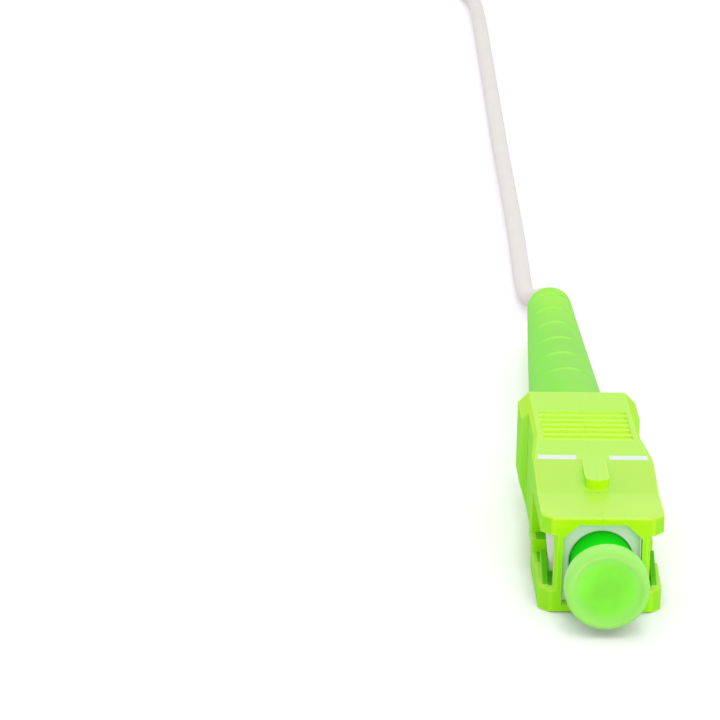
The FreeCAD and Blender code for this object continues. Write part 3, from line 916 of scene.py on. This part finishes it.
@dataclass
class PlugCore:
    """What the housing slides over: white frame, rear body, crimp, yarn and guide tube."""

    frame_colour: Colour = srgb(252, 250, 250)
    nickel: Colour = (0.66, 0.65, 0.62)
    clear: Colour = (0.9, 0.9, 0.9)

    def dress(self) -> None:
        """Finish the sub-parts inside the housing and the boot."""
        white = MouldedPlastic("frame_white", self.frame_colour, roughness=0.4, edge=0.06 * MM)
        metal = TurnedMetal("nickel_plate", self.nickel, roughness=0.28)
        crimp = TurnedMetal("crimp_steel", self.nickel, roughness=0.38,
                            pitch=math.tau * 0.3 * MM)
        yarn = Yarn("yarn_gold", YARN_GOLD, roughness=0.6, patch=0.2 * MM, patch_depth=0.2)
        clear = Glass("guide_clear", self.clear, roughness=0.25)
        for node, finish in (("plug_frame", white), ("rear_body", metal),
                             ("crimp_ring", crimp), ("aramid_sleeve", yarn),
                             ("guide_tube", clear)):
            finish_node(node, finish.material())


@dataclass
class FerruleGroup:
    """The ferrule in its flange, the fibre along it and the spring behind it."""

    ceramic: Colour = srgb(245, 245, 238)
    steel: Colour = (0.56, 0.56, 0.55)
    glass: Colour = (0.85, 0.92, 0.95)
    travel: float = 1.2 * MM

    def spring(self) -> None:
        """Build the spring as a copy with a mesh of its own."""
        wire = DrawnWire("spring_wire", self.steel, roughness=0.3)
        piece = stand_in("ferrule_spring", "coil_spring", wire.material())
        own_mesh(piece)

    def dress(self) -> None:
        """Finish the sprung sub-parts."""
        ceramic = Ceramic("ferrule_ceramic", self.ceramic, roughness=0.12)
        flange = TurnedMetal("flange_metal", self.steel, roughness=0.25)
        buffer_coat = Jacket("buffer_white", BUFFER_COATING, roughness=0.35)
        glass = Glass("fibre_glass", self.glass, roughness=0.08)
        for node, finish in (("ferrule", ceramic), ("ferrule_flange", flange),
                             ("ferrule_fibre", glass), ("tail_fibre", glass),
                             ("fibre_lead", buffer_coat), ("tail_buffer", buffer_coat)):
            finish_node(node, finish.material())
        self.spring()


@dataclass
class DustCap:
    """The tinted dust cap on the ferrule."""

    colour: Colour = srgb(144, 254, 70)
    # Where the painted shade of the tube and the painted light of the rim and lip lie.
    head_length: float = 1.7 * MM
    lip_width: float = 0.68 * MM
    recess: float = 0.3 * MM
    rim_width: float = 0.95 * MM
    rim_blur: float = 1.3 * MM

    def dress(self) -> None:
        """Finish the cap."""
        low, high = (Vector(corner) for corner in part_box("dust_cap"))
        radius = (high.x - low.x) / 2
        finish = CapPlastic(
            "cap_tinted", self.colour, roughness=0.34, patch=2.4 * MM, patch_depth=0.14,
            edge=0.5 * MM, axis_height=(low.z + high.z) / 2,
            head_back=low.y + self.head_length, lip_inside=radius - self.lip_width,
            lip_outside=radius - self.lip_width + self.recess,
            rim_radius=radius - self.rim_width, rim_blur=self.rim_blur)
        finish_node("dust_cap", finish.material())


@dataclass
class Boot:
    """The soft ringed boot, which leans a little to one side with the cable in it."""

    colour: Colour = srgb(140, 233, 58)
    jacket: Colour = srgb(238, 234, 230)
    # Where the rings' painted light and the far end's painted light lie.
    ring_start: float = 7.5 * MM
    ring_pitch: float = 4.6 * MM
    ring_width: float = 0.65 * MM
    far_behind: float = 24.0 * MM
    lean_start: float = -2.0 * MM
    lean_end: float = 33.5 * MM
    lean: float = 0.6 * MM
    lean_power: float = 1.5

    def leaning(self, node: str, name: str, finish: Finish) -> None:
        """Replace a sub-part by a copy that bends smoothly to the side.

        Args:
            node: The sub-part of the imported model.
            name: The copy's name.
            finish: The copy's finish.
        """
        for vertex in stand_in(node, name, finish.material()).data.vertices:
            share = (vertex.co.y - self.lean_start) / (self.lean_end - self.lean_start)
            vertex.co.x += self.lean * max(share, 0.0) ** self.lean_power

    def dress(self) -> None:
        """Build the boot and the layers of the cable inside it."""
        rubber = RingedRubber(
            "boot_green", self.colour, roughness=0.5, patch=5 * MM, patch_depth=0.05,
            grain=0.3 * MM, edge=0.12 * MM, ring_start=self.ring_start,
            ring_pitch=self.ring_pitch, ring_width=self.ring_width,
            far_behind=self.far_behind)
        self.leaning("boot", "ringed_boot", rubber)
        self.leaning("cable_jacket", "jacket_in_boot",
                     Jacket("jacket_inside", self.jacket, roughness=0.42))
        self.leaning("fibre_buffer", "buffer_in_boot",
                     Jacket("buffer_inside", BUFFER_COATING, roughness=0.35))


@dataclass
class Pigtail:
    """The jacketed cable from the boot to its tied hank, and its stripped end on top."""

    diameter: float = 1.6 * MM
    length: float = 0.96
    colour: Colour = srgb(234, 230, 225)
    strap_colour: Colour = (0.03, 0.03, 0.032)
    route: tuple[Point, ...] = (
        (0.0006, 0.0335, 0.0037), (0.00065, 0.0351, 0.0037), (0.0005, 0.0377, 0.0033),
        (0.00005, 0.0407, 0.0021), (-0.0004, 0.0437, 0.00113), (-0.00062, 0.0471, 0.00084),
        (-0.00045, 0.0531, 0.00084), (-0.0003, 0.0595, 0.00084),
        (-0.00012, 0.0691, 0.00084), (0.0, 0.0811, 0.00084), (0.00014, 0.0938, 0.00084),
        (0.0004, 0.1092, 0.00084), (0.0007, 0.1275, 0.00084), (0.00095, 0.1430, 0.00084),
        (0.0011, 0.1545, 0.00084), (0.0005, 0.1610, 0.00084), (-0.0019, 0.1675, 0.00084),
        (-0.0050, 0.1725, 0.00084), (-0.0065, 0.1778, 0.00084))
    tail: tuple[Point, ...] = (
        (-0.0065, 0.1780, 0.00534), (-0.0054, 0.1839, 0.0060), (-0.0030, 0.1891, 0.00692),
        (-0.0004, 0.1941, 0.0071), (0.0019, 0.2001, 0.0071))
    loop_radii: tuple[float, float] = (6.4 * MM, 4.8 * MM)
    waist_places: tuple[float, float] = (2.12 * MM, 0.52 * MM)
    run: float = 32.0 * MM
    middle: float = 0.1947
    layers: int = 4
    layer_rise: float = 1.5 * MM
    floor_gap: float = 0.04 * MM
    side_points: int = 5
    arc_points: int = 7
    tie_lift: float = 0.3 * MM
    round_steps: int = 4
    smooth_steps: int = 5
    tuft_seed: int = 7
    tuft_strands: int = 90
    tuft_length: float = 4.0 * MM
    tuft_lengths: tuple[float, float] = (0.8, 0.99)
    strand_radius: float = 0.035 * MM
    strand_steps: int = 1
    strand_root: tuple[float, float] = (0.50, 0.66)
    strand_spread: tuple[float, float] = (0.0, 0.12)
    strand_reach: float = 0.70
    strand_sway: tuple[float, float] = (-0.15, 0.15)

    def seats(self) -> list[tuple[int, float]]:
        """List the laps' seats, wound inwards and outwards by turns.

        Returns:
            Each lap's column and height.
        """
        seats = []
        for layer in range(self.layers):
            height = self.floor_gap + self.diameter / 2 + layer * self.layer_rise
            columns = (1, 0) if layer % 2 else (0, 1)
            seats += [(column, height) for column in columns]
        return seats

    def side(self, column: float, height: float, way: int) -> list[Point]:
        """Work out the points of one long side, drawn in to the tie at its middle.

        Args:
            column: Which of the two columns, from 0 outside to 1 inside.
            height: The height of the lap.
            way: 1 for the left side, which runs back, and -1 for the right side.

        Returns:
            The points in the order in which the cable runs.
        """
        wide = self.loop_radii[0] + (self.loop_radii[1] - self.loop_radii[0]) * column
        slim = self.waist_places[0] + (self.waist_places[1] - self.waist_places[0]) * column
        points = []
        for number in range(1, self.side_points + 1):
            share = 2 * number / (self.side_points + 1) - 1
            spread = share * share * (3 - 2 * abs(share))
            lift = self.tie_lift * max(0.0, 1 - 2 * abs(share))
            points.append((-way * (slim + (wide - slim) * spread),
                           self.middle + way * share * self.run / 2, height + lift))
        return points

    def loop(self, before: tuple[float, float], after: tuple[float, float],
             way: int) -> list[Point]:
        """Work out the points of one end loop, where the cable may change its seat.

        Args:
            before: Column and height on entering the loop.
            after: Column and height on leaving it.
            way: 1 for the far loop and -1 for the near one.

        Returns:
            The points in the order in which the cable runs.
        """
        step = math.pi / (self.arc_points - 1)
        swell = 1 / math.cos(step / 2)
        points = []
        for number in range(self.arc_points):
            share = min(number / (self.arc_points - 2), 1.0)
            column = before[0] + (after[0] - before[0]) * share
            height = before[1] + (after[1] - before[1]) * share
            radius = self.loop_radii[0] + (self.loop_radii[1] - self.loop_radii[0]) * column
            radius *= swell if 0 < number < self.arc_points - 1 else 1.0
            angle = math.pi - number * step
            points.append((way * radius * math.cos(angle),
                           self.middle + way * (self.run / 2 + radius * math.sin(angle)),
                           height))
        return points

    def hank(self) -> list[Point]:
        """Work out the hank's laps, which run clockwise seen from above.

        Returns:
            The points in the order in which the cable runs.
        """
        seats = self.seats()
        points = []
        for seat, following in zip(seats, [*seats[1:], seats[-1]]):
            points += self.side(*seat, way=1)
            points += self.loop(seat, seat, way=1)
            points += self.side(*seat, way=-1)
            points += self.loop(seat, following, way=-1)
        return points[:-1]

    def build(self) -> bpy.types.Object:
        """Lay the cable along its route, round its hank and up to its stripped end.

        Returns:
            The cable.
        """
        cable = round_curve("pigtail_cable", self.diameter / 2, self.round_steps,
                            Jacket("jacket_white", self.colour, roughness=0.4))
        cable.data.resolution_u = self.smooth_steps
        cable.data.use_fill_caps = True
        add_strand(cable, [*self.route, *self.hank(), *self.tail])
        return cable

    def tuft(self) -> bpy.types.Object:
        """Comb the trimmed yarn round the stripped buffer as separate filaments.

        Returns:
            The yarn.
        """
        chance = random.Random(self.tuft_seed)
        root = Vector(self.tail[-1])
        ahead = (root - Vector(self.tail[-2])).normalized()
        side = ahead.cross(Vector((0, 0, 1))).normalized()
        over = side.cross(ahead)
        strands = round_curve(
            "yarn_strands", self.strand_radius, self.strand_steps,
            Yarn("tuft_gold", YARN_GOLD, roughness=0.55, patch=0.3 * MM, patch_depth=0.2))
        for number in range(self.tuft_strands):
            turn = math.tau * (number + chance.random()) / self.tuft_strands
            outward = side * math.cos(turn) + over * math.sin(turn)
            start = chance.uniform(*self.strand_root)
            end = min(start + chance.uniform(*self.strand_spread), self.strand_reach)
            reach = self.tuft_length * chance.uniform(*self.tuft_lengths)
            sway = outward.cross(ahead) * chance.uniform(*self.strand_sway) * MM
            add_strand(strands, [
                root + ahead * reach * share + outward * out * MM + sway * share * share
                for share, out in ((-0.05, start), (0.3, start), (0.7, (start + end) / 2),
                                   (1.0, end))])
        return strands

    def dress(self) -> None:
        """Build the cable and its stripped end in place of the plain solids, to move with the
        plug.
        """
        strap = Yarn("strap_black", self.strap_colour, roughness=0.8, patch=0.3 * MM,
                     patch_depth=0.4)
        finish_node("hank_tie", strap.material())
        cable = self.build()
        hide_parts("cable_run", "cable_hank", "cable_tail")
        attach(cable, "plug")
        strands = self.tuft()
        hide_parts("yarn_tuft")
        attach(strands, "plug")
        LOG.info("%s and %s built", cable.name, strands.name)


@dataclass(frozen=True)
class Lamp:
    """A square lamp that points at the connector."""

    name: str
    place: Point
    size: float
    power: float

    def hang(self) -> None:
        """Hang the lamp at its place, with its size in metres and its power in watts."""
        light = bpy.data.lights.new(self.name, "AREA")
        light.size = self.size
        light.energy = self.power
        lamp = bpy.data.objects.new(self.name, light)
        lamp.location = self.place
        lamp.rotation_euler = (-Vector(self.place)).to_track_quat("-Z", "Y").to_euler()
        bpy.context.collection.objects.link(lamp)


@dataclass
class Studio:
    """The white table, the soft light and the camera."""

    lamps: tuple[Lamp, ...] = (
        Lamp("lamp_above", (0.06, -0.28, 0.85), size=0.24, power=1.0),
        Lamp("lamp_left", (-0.7, 0.3, 0.35), size=0.5, power=0.7),
        Lamp("lamp_front", (0.2, -0.95, 0.36), size=1.2, power=6.8))
    floor_half: float = 3.0
    floor_colour: Colour = (0.84, 0.8, 0.85)
    floor_shadow: Colour = (0.5, 0.48, 0.48)
    floor_glow: float = 0.3
    floor_roughness: float = 0.6
    floor_specular: float = 0.2
    shadow_reach: float = 3.0 * MM
    shadow_samples: int = 4
    shadow_air: Step = (0.45, 0.8)
    shadow_end: Step = (-8.0 * MM, 12.0 * MM)
    room_front: float = 0.3
    room_back: float = 1.04
    room_span: tuple[float, float] = (-1.0, 0.8)
    camera_place: Point = (-0.02828, -0.3129, 0.11432)
    camera_turn: tuple[float, float, float] = (71.527, -1.227, -1.669)
    lens: float = 210.0
    sensor: float = 36.0
    clip: tuple[float, float] = (0.01, 20.0)

    def floor(self) -> None:
        """Lay the white table, which is dimmer close round the front of the connector."""
        mesh = bpy.data.meshes.new("table")
        half = self.floor_half
        corners = [(-half, -half, 0), (half, -half, 0), (half, half, 0), (-half, half, 0)]
        mesh.from_pydata(corners, [], [(0, 1, 2, 3)])
        table = bpy.data.objects.new("table", mesh)
        bpy.context.collection.objects.link(table)
        shader = Shader("table_white")
        shader.fix(Roughness=self.floor_roughness, Specular_IOR_Level=self.floor_specular,
                   Emission_Strength=1.0)
        air = shader.node("ShaderNodeAmbientOcclusion", {"samples": self.shadow_samples},
                          {"Distance": self.shadow_reach}, "AO").above(*self.shadow_air)
        behind = shader.along(Side.BACK).above(*self.shadow_end)
        open_air = air + (1.0 - air) * behind
        seen = shader.node("ShaderNodeLightPath", output="Is Camera Ray") * open_air
        shader.vary("Base Color",
                    shader.blend(open_air, self.floor_shadow, self.floor_colour))
        shader.vary("Emission Color", shader.blend(seen, BLACK, (self.floor_glow,) * 3))
        mesh.materials.append(shader.material)

    def surroundings(self) -> None:
        """Light everything from a white room that is darker on the camera's side."""
        world = bpy.data.worlds.new("white_room")
        world.use_nodes = True
        room = Tree(world.node_tree)
        background = next(n for n in room.tree.nodes if n.type == "BACKGROUND")
        way = room.node("ShaderNodeTexCoord", output="Generated")
        back = room.node("ShaderNodeSeparateXYZ", None, {"Vector": way}, "Y")
        level = room.node("ShaderNodeMapRange", {"interpolation_type": "SMOOTHSTEP"},
                          {"Value": back, "From Min": self.room_span[0],
                           "From Max": self.room_span[1], "To Min": self.room_front,
                           "To Max": self.room_back})
        seen = room.node("ShaderNodeLightPath", output="Is Camera Ray")
        room.feed(background.inputs["Strength"], level + seen * (1.0 - level))
        room.feed(background.inputs["Color"], WHITE)
        bpy.context.scene.world = world

    def camera(self) -> None:
        """Set up the camera in front of the connector and above it."""
        eye = bpy.data.cameras.new("camera")
        eye.lens = self.lens
        eye.sensor_width = self.sensor
        eye.clip_start, eye.clip_end = self.clip
        stand = bpy.data.objects.new("camera", eye)
        stand.location = self.camera_place
        stand.rotation_euler = tuple(math.radians(turn) for turn in self.camera_turn)
        bpy.context.collection.objects.link(stand)
        bpy.context.scene.camera = stand

    def build(self) -> None:
        """Set up the whole studio."""
        self.floor()
        self.surroundings()
        for lamp in self.lamps:
            lamp.hang()
        self.camera()
        bpy.context.scene.view_settings.view_transform = "Standard"


def main() -> None:
    """Dress every sub-part, build the pigtail and set up the studio."""
    logging.basicConfig(level=logging.INFO, format="%(name)s: %(message)s")
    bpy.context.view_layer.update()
    for assembly in (OuterHousing(), PlugCore(), FerruleGroup(), DustCap(), Boot(),
                     Pigtail()):
        assembly.dress()
        LOG.info("%s dressed", type(assembly).__name__)
    Studio().build()


if __name__ == "__main__":
    main()
